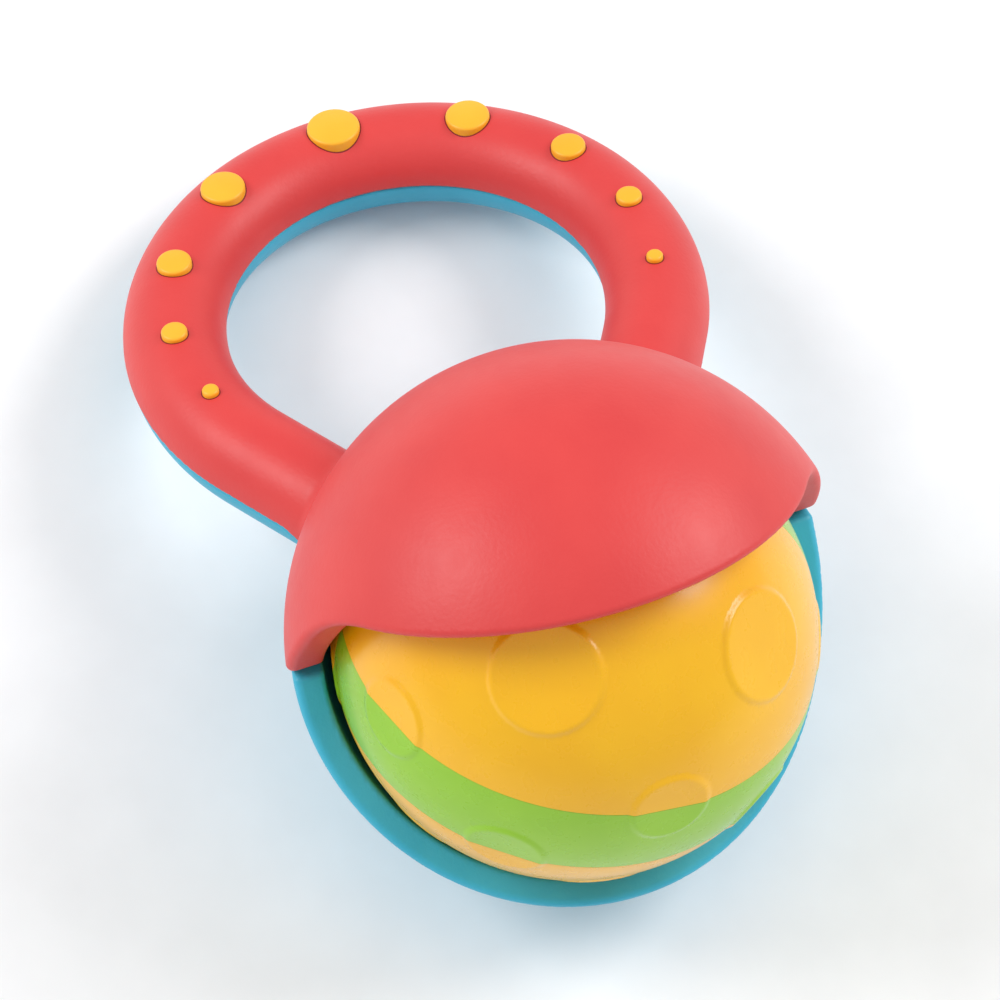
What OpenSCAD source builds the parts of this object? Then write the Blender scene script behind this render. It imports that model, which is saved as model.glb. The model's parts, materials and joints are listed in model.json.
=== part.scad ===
// Baby rattle: a ring handle carries a round head, and a hollow ball with
// loose beads in it turns inside the head.
// Every module is drawn level, about the centre of the ball, and place()
// tips it nose up onto the head and the end of the ring, as it lies at rest.

/* [Ball] */
// Diameter of the ball
ball_d = 60; // [50:0.5:64]
// Wall of the ball
ball_wall = 2.4; // [2:0.1:3]
// Upper edge of the stripe, above the ball's centre
stripe_top = 3; // [1:0.5:6]
// Lower edge of the stripe, below the ball's centre
stripe_low = 9; // [5:0.5:12]
// Depth of the stripe's inlay
inlay = 1; // [0.8:0.1:1.2]
// Lean of the stripe to one side as the ball lies at rest
ball_roll = 12; // [-60:1:60]
// Turn of the ball's joint plane
ball_turn = -11; // [-90:1:90]

/* [Beads] */
// Diameter of a rattle bead
bead_d = 5.2; // [4:0.1:5.4]
// Distance between the paths of neighbouring beads
bead_pitch = 6; // [5.6:0.1:7]

/* [Head] */
// Outer radius of the upper shell at the head
hood_r = 35.8; // [35:0.1:37]
// Outer radius of the lower shell at the head
bowl_r = 35.2; // [34.6:0.1:36]
// Height of the head's centre above the ball's centre
head_up = 1.3; // [0:0.1:2]
// Gap between the ball and the inside of the head
seat_gap = 1.2; // [1:0.1:1.6]
// Height of the joint between the shells above the ball's centre
joint_z = 2.6; // [2:0.1:4]
// Distance of the mouth's corners behind the ball's centre
mouth_back = 6; // [4:0.5:10]
// Radius of the lower shell's rim, seen from the side
rim_r = 53.5; // [52:0.1:55]

/* [Ring] */
// Radius of the ring's centre line
ring_r = 31.87; // [28:0.01:36]
// Distance from the ring's centre to the ball's centre
ring_back = 58; // [56:0.5:62]
// Outer radius of the handle's upper half
grip_r = 6.87; // [6:0.01:7.5]
// Outer radius of the handle's lower half
under_r = 6.65; // [6:0.01:7.5]
// Wall of the handle
grip_wall = 2; // [1.6:0.1:2.4]
// Where the ring runs out into the straight arms, from its far end
arm_angle = 120; // [115:1:125]

/* [Dots] */
// Angle between the first and the second dot
dot_step = 33.3; // [28:0.1:36]
// How far the largest dot stands out of the handle
dot_h = 0.95; // [0.5:0.05:1.2]

/* [Hidden] */
$fn = 96;

red = [0.93, 0.25, 0.25];
blue = [0.18, 0.62, 0.72];
yellow = [0.98, 0.74, 0.13];
green = [0.60, 0.80, 0.22];
steel = [0.75, 0.76, 0.78];

ball_r = ball_d / 2;
core_r = ball_r - ball_wall;
seat_r = ball_r + seat_gap;
far_x = -ring_back - ring_r;

// dots from the far end outwards: angle and radius
dots = [[0, 3.6], [dot_step, 3.0], [dot_step * 1.83, 2.33],
        [dot_step * 2.536, 1.72], [dot_step * 3.19, 1.1]];

// rest attitude: the head and the far end of the ring touch the ground
reach = sqrt(pow(far_x, 2) + pow(joint_z - head_up, 2));
tilt = asin((bowl_r - under_r) / reach) + atan((joint_z - head_up) / -far_x);
lift = bowl_r - head_up * cos(tilt);
// the ball stands out furthest in front
front = ball_r;
back = far_x * cos(tilt) - joint_z * sin(tilt) - grip_r;

module place() {
    translate([-(front + back) / 2, 0, lift])
        rotate([0, -tilt, 0])
            children();
}

// ---- handle ----

// a profile swept along the ring, and along the two straight arms
module along_path(from_angle) {
    translate([-ring_back, 0, joint_z])
        rotate([0, 0, 180 - from_angle])
            rotate_extrude(angle = 2 * from_angle)
                translate([ring_r, 0])
                    children();
}

module along_arms(length) {
    for (side = [-1, 1])
        translate([-ring_back, 0, joint_z])
            rotate([0, 0, 180 + side * arm_angle])
                translate([ring_r, 0, 0])
                    rotate([side > 0 ? -90 : 90, 0, 0])
                        rotate([0, 0, side > 0 ? 180 : 0])
                            linear_extrude(length)
                                children();
}

module half_disc(r, up) {
    intersection() {
        circle(r);
        translate([-2 * r, up ? 0 : -2 * r])
            square([4 * r, 2 * r]);
    }
}

module grip(r, up) {
    along_path(arm_angle) half_disc(r, up);
    along_arms(18) half_disc(r, up);
}

// hollow of the handle, closed near the head
module grip_hollow() {
    along_path(arm_angle) circle(grip_r - grip_wall);
    along_arms(10) circle(grip_r - grip_wall);
}

// tongue on the lower half that fits into a step in the upper half
module tongue_profile(gap) {
    for (side = [-1, 1])
        translate([side * (grip_r - grip_wall + 0.45), 0.55])
            square([0.9 + gap, 1.3 + gap], center = true);
}

module tongue(gap) {
    along_path(arm_angle) tongue_profile(gap);
    along_arms(10) tongue_profile(gap);
}

// ---- head ----

// side outline of the mouth above the joint
function mouth_arc(n) = [for (i = [0:n])
    let (a = 156 - 41 * i / n)
        [14.13 + 17 * cos(a), 6.09 + 17 * sin(a)]];

module mouth_above() {
    foot = [-mouth_back - 12 / tan(66), joint_z - 12];
    rotate([90, 0, 0])
        linear_extrude(100, center = true)
            polygon(concat([foot], mouth_arc(8),
                           [[60, 21.5 + 53.05 * tan(25)], [60, joint_z - 12]]));
}

// side outline of the mouth below the joint
function rim_arc(n) = [for (i = [0:n])
    let (a = -156.5 + 45 * i / n)
        [43 + rim_r * cos(a), 22.9 + rim_r * sin(a)]];

module mouth_below() {
    rim = rim_arc(8);
    rotate([90, 0, 0])
        linear_extrude(100, center = true)
            polygon(concat([[rim[0][0], 60]], rim,
                           [[90, rim[8][1] - (90 - rim[8][0]) * tan(21.5)],
                            [90, 60]]));
}

// two ribs that keep the ball in the middle of the head
module ball_ribs(up) {
    difference() {
        intersection() {
            sphere(seat_r + 1);
            for (side = [-1, 1])
                translate([-36, side * 14 - 0.8, up ? joint_z : -40])
                    cube([up ? 38 : 34, 1.6, up ? 40 : 40 + joint_z]);
        }
        sphere(ball_r + 0.8);
    }
}

// a sphere with its seam at the back, clear of the mouth
module turned_sphere(r) {
    rotate([0, 0, 180]) sphere(r);
}

module above() {
    translate([-150, -60, joint_z])
        cube([300, 120, 80]);
}

module below() {
    translate([-150, -60, joint_z - 80])
        cube([300, 120, 80]);
}

module upper_shell() {
    color(red) place() {
        difference() {
            union() {
                intersection() {
                    translate([0, 0, head_up]) turned_sphere(hood_r);
                    above();
                }
                grip(grip_r, true);
            }
            turned_sphere(seat_r);
            mouth_above();
            grip_hollow();
            tongue(0.1);
            dot_holes();
        }
        ball_ribs(true);
    }
}

module lower_shell() {
    color(blue) place() {
        difference() {
            union() {
                intersection() {
                    translate([0, 0, head_up]) sphere(bowl_r);
                    below();
                }
                grip(under_r, false);
            }
            sphere(seat_r);
            mouth_below();
            grip_hollow();
        }
        tongue(0);
        ball_ribs(false);
    }
}

// ---- dots ----

module at_dots() {
    for (i = [0:4])
        for (side = i == 0 ? [1] : [-1, 1])
            translate([-ring_back, 0, joint_z])
                rotate([0, 0, 180 + side * dots[i][0]])
                    translate([ring_r, 0, 0])
                        dot_at(dots[i][1]) children();
}

module dot_at(r) {
    $dot_r = r;
    children();
}

module dot_holes() {
    at_dots()
        translate([0, 0, 1])
            cylinder(r = $dot_r + 0.15, h = 10);
}

// a stud with a slightly crowned top
module stud(r) {
    top = grip_r + dot_h - 0.08 * (dots[0][1] - r);
    intersection() {
        translate([0, 0, 3])
            cylinder(r = r, h = 10);
        translate([0, 0, top - 3.4 * r - 3])
            sphere(3.4 * r + 3);
    }
}

// one moulding inside the handle: a strip that carries nine studs
module dot_strip() {
    color(yellow) place() {
        along_path(110)
            translate([-2.3, 2.6])
                square([4.6, 1.4]);
        at_dots() stud($dot_r);
    }
}

// ---- ball ----

// the ball's own frame: the stripe lies level and the joint plane faces +X
module ball_frame() {
    place()
        rotate([-ball_roll, 5, 0])
            rotate([0, 0, ball_turn])
                children();
}

module ball_body() {
    sphere(ball_r);
}

module stripe_zone(r) {
    difference() {
        translate([0, 0, -stripe_low])
            cylinder(r = 40, h = stripe_top + stripe_low);
        sphere(r);
    }
}

module side(sign) {
    translate([sign > 0 ? 0 : -50, -50, -50])
        cube([50, 100, 100]);
}

module half_shell(sign) {
    difference() {
        intersection() {
            ball_body();
            side(sign);
        }
        sphere(core_r);
        stripe_zone(ball_r - inlay);
    }
}

// lip that centres one half of the ball in the other
module ball_lip() {
    translate([-1.2, 0, 0])
        rotate([0, 90, 0])
            difference() {
                cylinder(r = core_r + 0.9, h = 2);
                translate([0, 0, -1]) cylinder(r = core_r + 0.1, h = 4);
            }
}

module ball_yellow_half() {
    color(yellow) ball_frame() {
        half_shell(1);
        ball_lip();
    }
}

module ball_green_half() {
    color(green) ball_frame()
        difference() {
            half_shell(-1);
            translate([-1.25, 0, 0])
                rotate([0, 90, 0])
                    cylinder(r = core_r + 0.95, h = 2);
        }
}

module stripe(sign) {
    intersection() {
        ball_body();
        stripe_zone(ball_r - inlay);
        side(sign);
    }
}

module green_stripe() {
    color(green) ball_frame() stripe(1);
}

module yellow_stripe() {
    color(yellow) ball_frame() stripe(-1);
}

// ---- beads ----

// each bead lies at the lowest point of its own path round the ball's inside
module bead(i) {
    path_r = sqrt(pow(core_r - bead_d / 2 - 0.1, 2) - pow(i * bead_pitch, 2));
    color(steel)
        translate([-(front + back) / 2, i * bead_pitch, lift - path_r])
            sphere(d = bead_d);
}

module bead_1() { bead(-2); }
module bead_2() { bead(-1); }
module bead_3() { bead(0); }
module bead_4() { bead(1); }
module bead_5() { bead(2); }

upper_shell();
lower_shell();
dot_strip();
ball_yellow_half();
ball_green_half();
green_stripe();
yellow_stripe();
bead_1();
bead_2();
bead_3();
bead_4();
bead_5();
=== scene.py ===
"""Looks of the baby rattle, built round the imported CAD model.

The two shells and the ball's four pieces are rounded forms, so each is written
as a distance field, in millimetres, about the ball's centre with the ring level.
The field is meshed on a fine grid, its points are moved onto the true surface,
and the result is tipped onto the ground as the CAD model is.
"""

import json
import math

import bpy
import numpy as np
from mathutils import Matrix, Vector


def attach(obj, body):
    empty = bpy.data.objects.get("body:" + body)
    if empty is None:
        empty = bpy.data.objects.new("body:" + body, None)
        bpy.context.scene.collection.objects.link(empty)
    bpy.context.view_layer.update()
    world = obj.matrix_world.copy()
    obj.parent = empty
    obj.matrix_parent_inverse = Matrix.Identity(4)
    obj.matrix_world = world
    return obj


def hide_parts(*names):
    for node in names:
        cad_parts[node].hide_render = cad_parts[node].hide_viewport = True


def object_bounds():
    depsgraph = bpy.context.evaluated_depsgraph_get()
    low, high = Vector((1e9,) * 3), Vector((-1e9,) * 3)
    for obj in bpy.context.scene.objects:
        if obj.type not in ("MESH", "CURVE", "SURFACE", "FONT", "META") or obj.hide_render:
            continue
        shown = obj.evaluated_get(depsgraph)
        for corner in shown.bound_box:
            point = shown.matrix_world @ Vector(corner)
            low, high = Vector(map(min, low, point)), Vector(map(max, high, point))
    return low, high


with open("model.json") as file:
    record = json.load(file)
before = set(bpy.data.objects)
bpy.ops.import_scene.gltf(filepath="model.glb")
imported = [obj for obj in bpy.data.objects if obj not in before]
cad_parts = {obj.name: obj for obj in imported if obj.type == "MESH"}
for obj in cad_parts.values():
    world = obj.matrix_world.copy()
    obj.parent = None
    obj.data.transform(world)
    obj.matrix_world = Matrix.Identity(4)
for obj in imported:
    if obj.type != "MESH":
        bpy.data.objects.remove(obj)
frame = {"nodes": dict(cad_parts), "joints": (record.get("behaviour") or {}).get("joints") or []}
cad_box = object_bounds()

MM = 0.001

# ball
BALL_R = 30.0
CORE_R = 27.6
INLAY_R = 29.0
STRIPE_TOP = 3.0
STRIPE_LOW = -9.0
BALL_EDGE = 0.1
BALL_ROLL = -12.0
BALL_LEAN = 5.0
BALL_TURN = -11.0
# raised discs: angle from the ball's pole, first angle round it, radius, height of the flat top
DISCS = (
    (52.5, 44.5, 6.8, 29.62),
    (140.0, 11.0, 6.8, 29.62),
    (84.0, 11.0, 5.0, 29.9),
    (106.0, 47.0, 5.0, 29.9),
)
DISCS_ROUND = 5
# a disc's rounded edge: how far past its radius it ends, and how wide it is
DISC_PAST = 0.6
DISC_EDGE = 1.1
# cosine of the widest angle from a disc's axis at which it can shape the ball
DISC_NEAR = 0.93

# head
HOOD_R = 35.8
BOWL_R = 35.2
HEAD_UP = 1.3
SEAT_R = 31.2
# the seat's centre from the ball's, back and up, chosen for the gap at the rim
SEAT_SHIFT = (-0.3, 0.5)
JOINT_Z = 2.6
MOUTH_ARC = (14.13, 6.09, 17.0)
MOUTH_ANGLES = (115.0, 156.0)
RIM_ARC = (43.0, 22.9, 53.5)
HEAD_SEAM_Z = 1.1
# where the joint starts to rise outside the hood, and over what length
SEAM_RISE_AT = 1
SEAM_RISE = 4

# handle
RING_R = 31.87
RING_BACK = 58.0
GRIP_R = 6.87
UNDER_R = 6.65
ARM_ANGLE = 120.0
ARM_LENGTH = 20.0
DOT_STEP = 33.3
# each dot's angle in steps from the ring's far end, and its radius
DOTS = ((0.0, 3.6), (1.0, 3.0), (1.83, 2.33), (2.536, 1.72), (3.19, 1.1))
DOT_H = 0.95
# a stud's crown radius is a multiple of its own radius and a fixed part
CROWN_SHARE = 3.4
CROWN_BASE = 3
SMALLER_IS_LOWER = 0.08
STUD_EDGE = 0.42
STUD_FOOT = 3.0
AXIS_GAP = 0.02
STUD_AROUND = 72
STUD_ROWS = (12, 8, 6)
# the painted shade of the groove round a dot, a dark band on the skin: its edges from the dot's
# edge, and how far it lies off the skin
GROOVE_IN = 0.05
GROOVE_OUT = 0.16
GROOVE_LIFT = 0.015
GROOVE_AROUND = 96
GROOVE_START = 5.5
GROOVE_TRIES = 12
GROOVE_SLOPE = 0.3

# roundings
FILLET = 2.5
LIP = 1.2
# where the wide rounding gives way to the narrow one, and over what length
LIP_FROM = 2
LIP_BLEND = 3
CORNER = 2.5
SEAM = 0.4
INNER_LIP = 0.5

# meshing
SHELL_STEP = 0.5
BALL_STEP = 0.4
BAND_STEP = 0.3
MARGIN = 1
BELOW_JOINT = 2.5
SHELL_FRONT = 30.0
BALL_MARGIN = 1.2
PROBE = 0.02
SETTLE_TRIES = 4
MIN_SLOPE = 0.1
TINY = 1e-6
SKIN_DEPTH = 0.3
SHARPEN_TRIES = 3
SEAM_GAP = 0.03

# plastic
TONE_AT = (0.3, 0.7)
TONE_NOISE = (90, 3)
GLOSS_NOISE = (420, 4)
GLOSS_SPREAD = 0.05
GRAIN_DETAIL = 2
GRAIN_DEPTH = 0.0001
PLASTIC_IOR = 1.49
COAT_ROUGHNESS = 0.12

# studio
FLOOR_SIZE = 6
FLOOR_SPECULAR = 0.2
WORLD_STRENGTH = 0.66
LIGHT_SIZE = 0.45
LIGHT_POWER = 3.8
LEFT_BOX = (-0.33, -0.62, 0.60)
RIGHT_BOX = (0.0, 0.65, 0.66)
# the camera stands where the photograph was taken from, about the ball's centre
LENS = 150
CAMERA_AT = np.array((318.7, -105.1, 390.1))
CAMERA_UP = np.array((-0.584, 0.2643, 0.7675))
CAMERA_AIM = np.array((-22.0, -1.5, 3.6))

far_x = RING_BACK + RING_R
reach = math.hypot(far_x, JOINT_Z - HEAD_UP)
TILT = math.asin((BOWL_R - UNDER_R) / reach) + math.atan((JOINT_Z - HEAD_UP) / far_x)
CENTRE = Vector(next(j for j in frame["joints"] if j["name"] == "ball_roll")["pos_m"])


# ---- frames ----


def turn(axis, degrees):
    return np.array(Matrix.Rotation(math.radians(degrees), 3, axis))


PLACE = turn("Y", -math.degrees(TILT))
BALL_FRAME = PLACE @ turn("Y", BALL_LEAN) @ turn("X", BALL_ROLL) @ turn("Z", BALL_TURN)


def to_row(points, rotation):
    """Points in millimetres about the ball's centre, in metres in the row frame."""
    return points @ rotation.T * MM + np.array(CENTRE)


# ---- distance fields ----


def meet(a, b, r):
    """Both a and b, with their edge rounded to radius r."""
    round_part = np.hypot(np.maximum(a + r, 0), np.maximum(b + r, 0))
    return np.minimum(np.maximum(a, b), -r) + round_part


def join(a, b, r):
    """Either a or b, with their inner corner filled to radius r."""
    return -meet(-a, -b, r)


def soft_step(t):
    t = np.clip(t, 0, 1)
    return t * t * (3 - 2 * t)


def handle_distance(x, y, z):
    """Distance from the handle's centre line: the ring, then two straight arms."""
    px, ay, dz = x + RING_BACK, np.abs(y), z - JOINT_Z
    end = math.radians(ARM_ANGLE)
    start_x, start_y = -RING_R * math.cos(end), RING_R * math.sin(end)
    dir_x, dir_y = math.sin(end), math.cos(end)
    on_ring = np.abs(np.hypot(px, ay) - RING_R)
    t = (px - start_x) * dir_x + (ay - start_y) * dir_y
    t = np.clip(t, 0, ARM_LENGTH)
    on_arm = np.hypot(px - start_x - t * dir_x, ay - start_y - t * dir_y)
    past = np.arctan2(ay, -px) > end
    return np.hypot(np.where(past, on_arm, on_ring), dz)


def body_outside(x, y, z, head_r, tube_r):
    head = np.sqrt(x * x + y * y + (z - HEAD_UP) ** 2) - head_r
    return join(head, handle_distance(x, y, z) - tube_r, FILLET)


def mouth(x, z):
    """The hood's side outline: positive in front of it."""
    cx, cz, r = MOUTH_ARC
    u, v = x - cx, z - cz
    low, high = (math.radians(a) for a in MOUTH_ANGLES)
    middle = (low + high) / 2
    off = np.arctan2(v * math.cos(middle) - u * math.sin(middle),
                     u * math.cos(middle) + v * math.sin(middle))
    below = u * math.cos(high) + v * math.sin(high)
    above = u * math.cos(low) + v * math.sin(low)
    along = np.where(off > (high - low) / 2, below, above)
    return r - np.where(np.abs(off) <= (high - low) / 2, np.hypot(u, v), along)


def seam_height(x, y):
    """The joint between the shells: just under the head's equator, then the handle's middle."""
    share = soft_step((np.hypot(x, y) - HOOD_R - SEAM_RISE_AT) / SEAM_RISE)
    return HEAD_SEAM_Z + (JOINT_Z - HEAD_SEAM_Z) * share


def edge_radius(front, flat):
    """Wide rounding along the mouth's edge, narrow along the joint."""
    return SEAM + (LIP - SEAM) * soft_step((front - flat + LIP_FROM) / LIP_BLEND)


def seat(x, y, z):
    """Positive inside the round hollow for the ball."""
    dx, dz = SEAT_SHIFT
    return SEAT_R - np.sqrt((x - dx) ** 2 + y * y + (z - dz) ** 2)


def upper_field(p):
    x, y, z = p
    outside = body_outside(x, y, z, HOOD_R, GRIP_R)
    front, flat = mouth(x, z), seam_height(x, y) - z
    cut = meet(front, flat, CORNER)
    solid = meet(outside, cut, edge_radius(front, flat))
    return meet(solid, seat(x, y, z), INNER_LIP)


def lower_field(p):
    x, y, z = p
    outside = body_outside(x, y, z, BOWL_R, UNDER_R)
    cx, cz, r = RIM_ARC
    front, flat = r - np.hypot(x - cx, z - cz), z - seam_height(x, y)
    cut = meet(front, flat, INNER_LIP)
    solid = meet(outside, cut, edge_radius(front, flat))
    return meet(solid, seat(x, y, z), INNER_LIP)


def disc_axes():
    for polar, first, radius, top in DISCS:
        for i in range(DISCS_ROUND):
            a, b = math.radians(polar), math.radians(first + 360 / DISCS_ROUND * i)
            axis = (math.sin(a) * math.cos(b), math.sin(a) * math.sin(b), math.cos(a))
            yield axis, radius, top


def ball_radius(x, y, z, r):
    """The ball's outline, with a step up to each flat disc."""
    out = np.full_like(r, BALL_R)
    for axis, radius, top in disc_axes():
        along = (x * axis[0] + y * axis[1] + z * axis[2]) / np.maximum(r, 1)
        near = along > DISC_NEAR
        a = along[near]
        flat = top / a
        aside = flat * np.sqrt(np.maximum(1 - a * a, 0))
        share = soft_step((radius + DISC_PAST - aside) / DISC_EDGE)
        out[near] += share * (flat - out[near])
    return out


def ball_field(p, side, stripe):
    """One half of the ball, or the stripe that is let into it."""
    x, y, z = p
    r = np.sqrt(x * x + y * y + z * z)
    half = meet(r - ball_radius(x, y, z, r), -side * x, BALL_EDGE)
    zone = np.maximum(z - STRIPE_TOP, STRIPE_LOW - z)
    if stripe:
        return np.maximum(meet(half, zone, BALL_EDGE), INLAY_R - r)
    groove = np.maximum(zone, INLAY_R - r)
    return np.maximum(meet(half, -groove, BALL_EDGE), CORE_R - r)


# ---- meshing ----


def between(plane, reach, step):
    """A grid's start, about reach below a flat face that then falls midway between its points."""
    return plane - (math.ceil(reach / step) + 0.5) * step


def grid_points(low, high, step):
    axes = [np.arange(a, b + step, step) for a, b in zip(low, high)]
    return np.meshgrid(*axes, indexing="ij")


def crossings(f, axis):
    """Where the field changes sign along one axis of the grid."""
    a = np.moveaxis(f, axis, 0)
    first, second = a[:-1], a[1:]
    hit = (first < 0) != (second < 0)
    t = np.where(hit, first / np.where(hit, first - second, 1), 0)
    return np.moveaxis(hit, 0, axis), np.moveaxis(t, 0, axis), np.moveaxis(first < 0, 0, axis)


def surface(f, low, step):
    """Quads over the field's zero surface, one point in each cell that it crosses."""
    cells = tuple(n - 1 for n in f.shape)
    total = np.zeros(cells + (3,), np.float32)
    count = np.zeros(cells, np.float32)
    found = [crossings(f, axis) for axis in range(3)]
    for axis, (hit, t, _) in enumerate(found):
        b, c = [k for k in range(3) if k != axis]
        for i in (0, 1):
            for j in (0, 1):
                part = [slice(None)] * 3
                part[b] = slice(i, i + cells[b])
                part[c] = slice(j, j + cells[c])
                h = hit[tuple(part)].astype(np.float32)
                count += h
                total[..., axis] += t[tuple(part)] * h
                total[..., b] += i * h
                total[..., c] += j * h
    used = count > 0
    index = np.full(cells, -1, np.int64)
    index[used] = np.arange(used.sum())
    where = np.argwhere(used)
    points = (where + total[used] / count[used][:, None]) * step + np.array(low)
    quads = []
    for axis, (hit, _, inside) in enumerate(found):
        b, c = (axis + 1) % 3, (axis + 2) % 3
        at = np.argwhere(hit)
        at = at[(at[:, b] > 0) & (at[:, c] > 0)]
        at = at[(at[:, b] < cells[b]) & (at[:, c] < cells[c])]
        corners = []
        for i, j in ((1, 1), (0, 1), (0, 0), (1, 0)):
            k = at.copy()
            k[:, b] -= i
            k[:, c] -= j
            corners.append(index[tuple(k.T)])
        quad = np.stack(corners, 1)
        outward = inside[tuple(at.T)]
        quads.append(np.where(outward[:, None], quad, quad[:, ::-1]))
    return points, np.concatenate(quads)


def slope_of(field, points):
    out = np.zeros_like(points)
    for k in range(3):
        d = np.zeros(3)
        d[k] = PROBE
        out[:, k] = (field((points + d).T) - field((points - d).T)) / (2 * PROBE)
    return out


def settle(field, points, step):
    """Moves the points onto the field's surface and gives their normals."""
    for _ in range(SETTLE_TRIES):
        g = slope_of(field, points)
        size = np.maximum((g * g).sum(1), MIN_SLOPE)
        move = -(field(points.T) / size)[:, None] * g
        points = points + np.clip(move, -step, step)
    g = slope_of(field, points)
    return points, g / np.maximum(np.linalg.norm(g, axis=1), TINY)[:, None]


def new_object(name, points, faces, normals=None):
    mesh = bpy.data.meshes.new(name)
    mesh.from_pydata(points, [], faces)
    mesh.shade_smooth()
    if normals is not None:
        mesh.normals_split_custom_set_from_vertices(normals)
    obj = bpy.data.objects.new(name, mesh)
    bpy.context.scene.collection.objects.link(obj)
    return obj


def skin_field(p):
    r = np.sqrt((p * p).sum(0))
    return r - ball_radius(*p, r)


def sharpen(points, normals, step, seams):
    """Puts the points along the ball's seams exactly on them, shaded as the skin beside them."""
    skin = skin_field(points.T) > -SKIN_DEPTH
    for _ in range(SHARPEN_TRIES):
        r = np.linalg.norm(points, axis=1)
        points[skin] *= (1 - skin_field(points.T) / r)[skin][:, None]
        for axis, place, way in seams:
            near = skin & (np.abs(points[:, axis] - place) < step / 2)
            points[near, axis] = place + way * SEAM_GAP
    g = slope_of(skin_field, points[skin])
    normals[skin] = g / np.linalg.norm(g, axis=1)[:, None]
    return points, normals


def from_field(name, field, low, high, step, rotation, seams=()):
    points, faces = surface(field(grid_points(low, high, step)), low, step)
    points, normals = settle(field, points, step)
    if seams:
        points, normals = sharpen(points, normals, step, seams)
    return new_object(name, to_row(points, rotation), faces, normals @ rotation.T)


# ---- materials ----


def srgb(r, g, b):
    def linear(c):
        c /= 255
        return c / 12.92 if c <= 0.04045 else ((c + 0.055) / 1.055) ** 2.4

    return linear(r), linear(g), linear(b), 1


def plastic(name, shade, tone, roughness, grain, grain_size, coat=0.0):
    """Moulded plastic: two close tones, a fine skin and slightly uneven gloss."""
    mat = bpy.data.materials.new(name)
    mat.use_nodes = True
    nodes, links = mat.node_tree.nodes, mat.node_tree.links
    shader = nodes["Principled BSDF"]
    where = nodes.new("ShaderNodeTexCoord")

    def noise(scale, detail):
        n = nodes.new("ShaderNodeTexNoise")
        n.inputs["Scale"].default_value = scale
        n.inputs["Detail"].default_value = detail
        links.new(where.outputs["Object"], n.inputs["Vector"])
        return n.outputs["Fac"]

    ramp = nodes.new("ShaderNodeValToRGB")
    for stop, at, color in zip(ramp.color_ramp.elements, TONE_AT, (shade, tone)):
        stop.position = at
        stop.color = color
    links.new(noise(*TONE_NOISE), ramp.inputs["Fac"])
    links.new(ramp.outputs["Color"], shader.inputs["Base Color"])

    gloss = nodes.new("ShaderNodeMapRange")
    gloss.inputs["To Min"].default_value = roughness - GLOSS_SPREAD
    gloss.inputs["To Max"].default_value = roughness + GLOSS_SPREAD
    links.new(noise(*GLOSS_NOISE), gloss.inputs["Value"])
    links.new(gloss.outputs["Result"], shader.inputs["Roughness"])

    bump = nodes.new("ShaderNodeBump")
    bump.inputs["Strength"].default_value = grain
    bump.inputs["Distance"].default_value = GRAIN_DEPTH
    links.new(noise(1 / grain_size, GRAIN_DETAIL), bump.inputs["Height"])
    links.new(bump.outputs["Normal"], shader.inputs["Normal"])

    shader.inputs["IOR"].default_value = PLASTIC_IOR
    shader.inputs["Coat Weight"].default_value = coat
    shader.inputs["Coat Roughness"].default_value = COAT_ROUGHNESS
    return mat


RED = plastic("red_satin", srgb(213, 58, 58), srgb(219, 65, 63), 0.46, 0.3, 0.0006)
BLUE = plastic("blue_satin", srgb(48, 170, 200), srgb(58, 180, 210), 0.46, 0.3, 0.0006)
DOT = plastic("dot_satin", srgb(250, 176, 34), srgb(253, 186, 44), 0.4, 0.2, 0.0006)
YELLOW = plastic("ball_yellow", srgb(242, 180, 2), srgb(246, 187, 5), 0.28, 0.02, 0.0015, 0.1)
GREEN = plastic("ball_green", srgb(140, 196, 26), srgb(150, 204, 34), 0.28, 0.02, 0.0015, 0.1)
STEEL = plastic("bead_white", srgb(196, 198, 202), srgb(208, 210, 214), 0.3, 0.1, 0.001)
# dark red for the bands round the dots: painted shade of the groove between each stud and the
# shell
GROOVE_SHADE = plastic("painted_groove_shade", srgb(120, 14, 16), srgb(132, 18, 20), 0.6, 0.1, 0.001)


def finish_piece(obj, material, body, slot, *nodes):
    obj.data.materials.append(material)
    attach(obj, body)
    if nodes:
        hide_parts(*nodes)


# ---- shells ----

BACK = -far_x - GRIP_R - MARGIN
WIDTH = RING_R + GRIP_R + MARGIN
upper = from_field(
    "upper_form", upper_field,
    (BACK, -WIDTH, between(JOINT_Z, BELOW_JOINT, SHELL_STEP)),
    (SHELL_FRONT, WIDTH, HEAD_UP + HOOD_R + MARGIN), SHELL_STEP, PLACE)
finish_piece(upper, RED, "shells", "red_shell", "upper_shell")

lower = from_field(
    "lower_form", lower_field,
    (BACK, -WIDTH, between(JOINT_Z, BOWL_R + BELOW_JOINT, SHELL_STEP)),
    (SHELL_FRONT, WIDTH, JOINT_Z + MARGIN), SHELL_STEP, PLACE)
finish_piece(lower, BLUE, "shells", "blue_shell", "lower_shell")


# ---- ball ----

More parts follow.
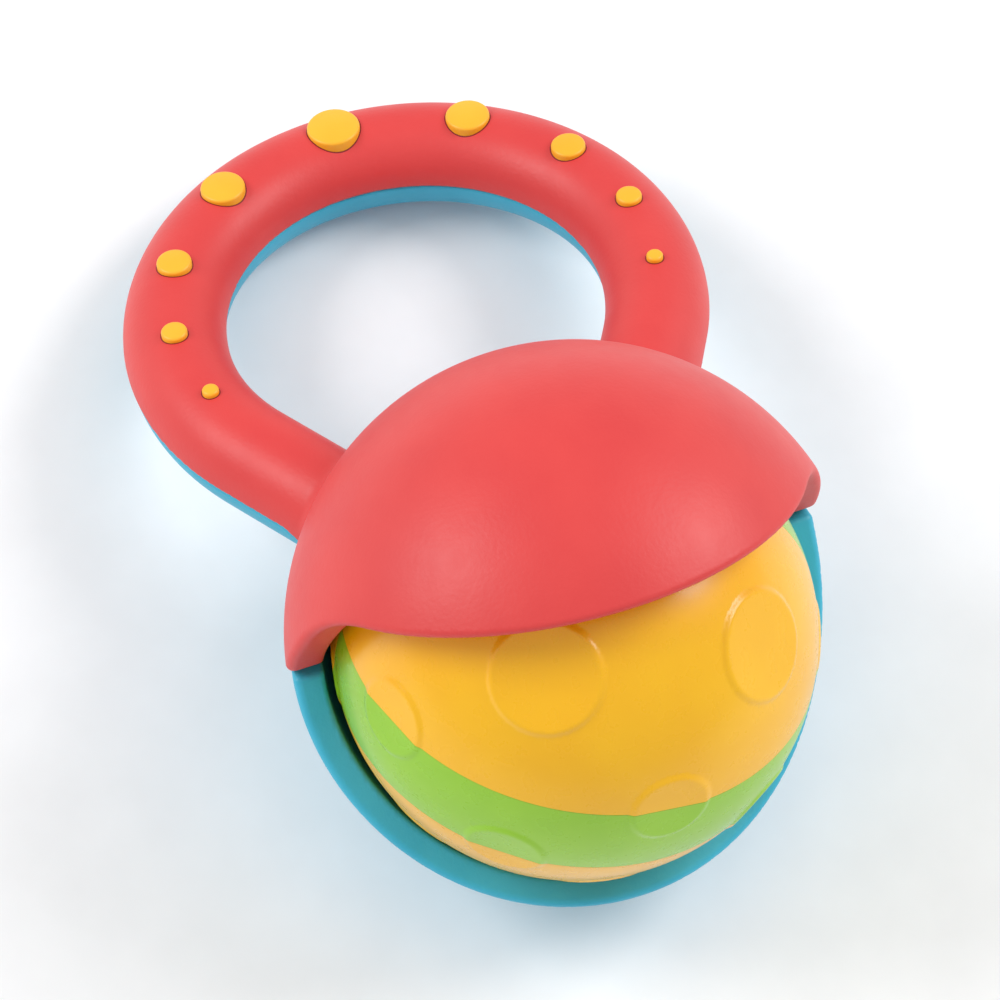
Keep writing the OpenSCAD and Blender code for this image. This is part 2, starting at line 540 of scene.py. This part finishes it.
EDGE = BALL_R + BALL_MARGIN
for side, name, other, material, band_material in (
    (1, "yellow", "green", YELLOW, GREEN),
    (-1, "green", "yellow", GREEN, YELLOW),
):
    reach_back, reach_front = (MARGIN, EDGE) if side > 0 else (EDGE, MARGIN)
    half = from_field(
        f"ball_{name}_form", lambda p: ball_field(p, side, False),
        (between(0, reach_back, BALL_STEP), -EDGE,
         between(STRIPE_TOP, STRIPE_TOP + EDGE, BALL_STEP)),
        (reach_front, EDGE, EDGE), BALL_STEP, BALL_FRAME,
        ((0, 0, side), (2, STRIPE_TOP, 1), (2, STRIPE_LOW, -1)))
    finish_piece(half, material, "ball", f"{name}_ball", f"ball_{name}_half")
    band = from_field(
        f"{other}_band_form", lambda p: ball_field(p, side, True),
        (between(0, reach_back, BAND_STEP), -EDGE, between(STRIPE_LOW, MARGIN, BAND_STEP)),
        (reach_front, EDGE, STRIPE_TOP + MARGIN), BAND_STEP, BALL_FRAME,
        ((0, 0, side), (2, STRIPE_TOP, -1), (2, STRIPE_LOW, 1)))
    finish_piece(band, band_material, "ball", f"{other}_ball", f"{other}_stripe")


# ---- dots ----


def lathe(profile):
    """A closed cap turned from (radius, height) pairs; the first pair is on the axis."""
    around = STUD_AROUND
    angles = np.linspace(0, 2 * math.pi, around, endpoint=False)
    points = [(0, 0, profile[0][1])]
    for r, h in profile[1:]:
        points += [(r * math.cos(a), r * math.sin(a), h) for a in angles]
    faces = [(0, 1 + i, 1 + (i + 1) % around) for i in range(around)]
    for k in range(len(profile) - 2):
        a, b = 1 + k * around, 1 + (k + 1) * around
        faces += [(a + i, b + i, b + (i + 1) % around, a + (i + 1) % around)
                  for i in range(around)]
    return np.array(points), faces


def stud_profile(r):
    top = GRIP_R + DOT_H - SMALLER_IS_LOWER * (DOTS[0][1] - r)
    crown = CROWN_SHARE * r + CROWN_BASE
    edge = STUD_EDGE
    crown_rows, edge_rows, side_rows = STUD_ROWS
    rows = []
    for i in range(crown_rows + 1):
        d = (r - edge) * i / crown_rows
        rows.append((d, top - crown + math.sqrt(crown * crown - d * d)))
    shoulder = rows[-1][1] - edge
    lean = math.asin((r - edge) / crown)
    for i in range(1, edge_rows + 1):
        a = lean + (math.pi / 2 - lean) * i / edge_rows
        rows.append((r - edge + edge * math.sin(a), shoulder + edge * math.cos(a)))
    for i in range(1, side_rows + 1):
        rows.append((r, shoulder + (STUD_FOOT - shoulder) * i / side_rows))
    rows.append((AXIS_GAP, STUD_FOOT))
    return rows


def dot_places():
    for k, (share, radius) in enumerate(DOTS):
        for side in (1,) if k == 0 else (-1, 1):
            a = math.pi + side * math.radians(share * DOT_STEP)
            yield RING_R * math.cos(a) - RING_BACK, RING_R * math.sin(a), radius


def painted_shade_ring(cx, cy, inner, outer):
    """A thin dark band on the handle's skin round one dot: painted shade of the groove there."""
    around = GROOVE_AROUND
    points = []
    for r in (inner, outer):
        for i in range(around):
            a = 2 * math.pi * i / around
            points.append((cx + r * math.cos(a), cy + r * math.sin(a), JOINT_Z + GROOVE_START))
    points = np.array(points)
    for _ in range(GROOVE_TRIES):
        d = handle_distance(*points.T) - GRIP_R - GROOVE_LIFT
        up = (points[:, 2] - JOINT_Z) / (d + GRIP_R)
        points[:, 2] -= d / np.maximum(up, GROOVE_SLOPE)
    faces = [(i, around + i, around + (i + 1) % around, (i + 1) % around)
             for i in range(around)]
    return points, faces


def pile(parts):
    """Several point and face lists as one."""
    points, faces, base = [], [], 0
    for p, f in parts:
        points.append(p)
        faces += [tuple(base + i for i in face) for face in f]
        base += len(p)
    return np.concatenate(points), faces


studs, groove_shades = [], []
for cx, cy, radius in dot_places():
    p, f = lathe(stud_profile(radius))
    studs.append((p + np.array((cx, cy, JOINT_Z)), f))
    groove_shades.append(painted_shade_ring(cx, cy, radius - GROOVE_IN, radius + GROOVE_OUT))
points, faces = pile(studs)
dots = new_object("dot_studs", to_row(points, PLACE), faces)
finish_piece(dots, DOT, "shells", "yellow_dots", "dot_strip")
# the dots' dark bands of painted shade, laid on the red shell
points, faces = pile(groove_shades)
shade_rings = new_object("dot_painted_shade_rings", to_row(points, PLACE), faces)
finish_piece(shade_rings, GROOVE_SHADE, "shells", "red_shell")


# ---- beads ----

for name, node in frame["nodes"].items():
    if name.startswith("bead_"):
        node.data.materials.clear()
        node.data.materials.append(STEEL)


# ---- studio ----


def floor_material():
    mat = plastic("floor_paper", srgb(244, 244, 245), srgb(248, 248, 249), 0.8, 0.1, 0.002)
    shader = mat.node_tree.nodes["Principled BSDF"]
    shader.inputs["Specular IOR Level"].default_value = FLOOR_SPECULAR
    return mat


bpy.ops.mesh.primitive_plane_add(size=FLOOR_SIZE, location=(0, 0, 0))
floor = bpy.context.object
floor.name = "floor"
floor.data.materials.append(floor_material())

world = bpy.data.worlds.new("studio")
bpy.context.scene.world = world
world.use_nodes = True
background = world.node_tree.nodes["Background"]
background.inputs["Color"].default_value = (1, 1, 1, 1)
background.inputs["Strength"].default_value = WORLD_STRENGTH

low, high = cad_box
MIDDLE = (low + high) / 2


def area_light(name, place):
    data = bpy.data.lights.new(name, "AREA")
    data.shape = "DISK"
    data.size = LIGHT_SIZE
    data.energy = LIGHT_POWER
    light = bpy.data.objects.new(name, data)
    light.location = place
    aim = (MIDDLE - Vector(place)).to_track_quat("-Z", "Y")
    light.rotation_euler = aim.to_euler()
    bpy.context.scene.collection.objects.link(light)


area_light("left_box", LEFT_BOX)
area_light("right_box", RIGHT_BOX)

camera_data = bpy.data.cameras.new("camera")
camera_data.lens = LENS
camera = bpy.data.objects.new("camera", camera_data)
bpy.context.scene.collection.objects.link(camera)
place = Vector(to_row(CAMERA_AT[None, :], PLACE)[0])
aim = Vector(to_row(CAMERA_AIM[None, :], PLACE)[0])
back = (place - aim).normalized()
right = Vector(PLACE @ CAMERA_UP).cross(back).normalized()
above = back.cross(right)
facing = Matrix((right, above, back)).transposed().to_4x4()
camera.matrix_world = Matrix.Translation(place) @ facing
bpy.context.scene.camera = camera
bpy.context.scene.view_settings.view_transform = "Standard"
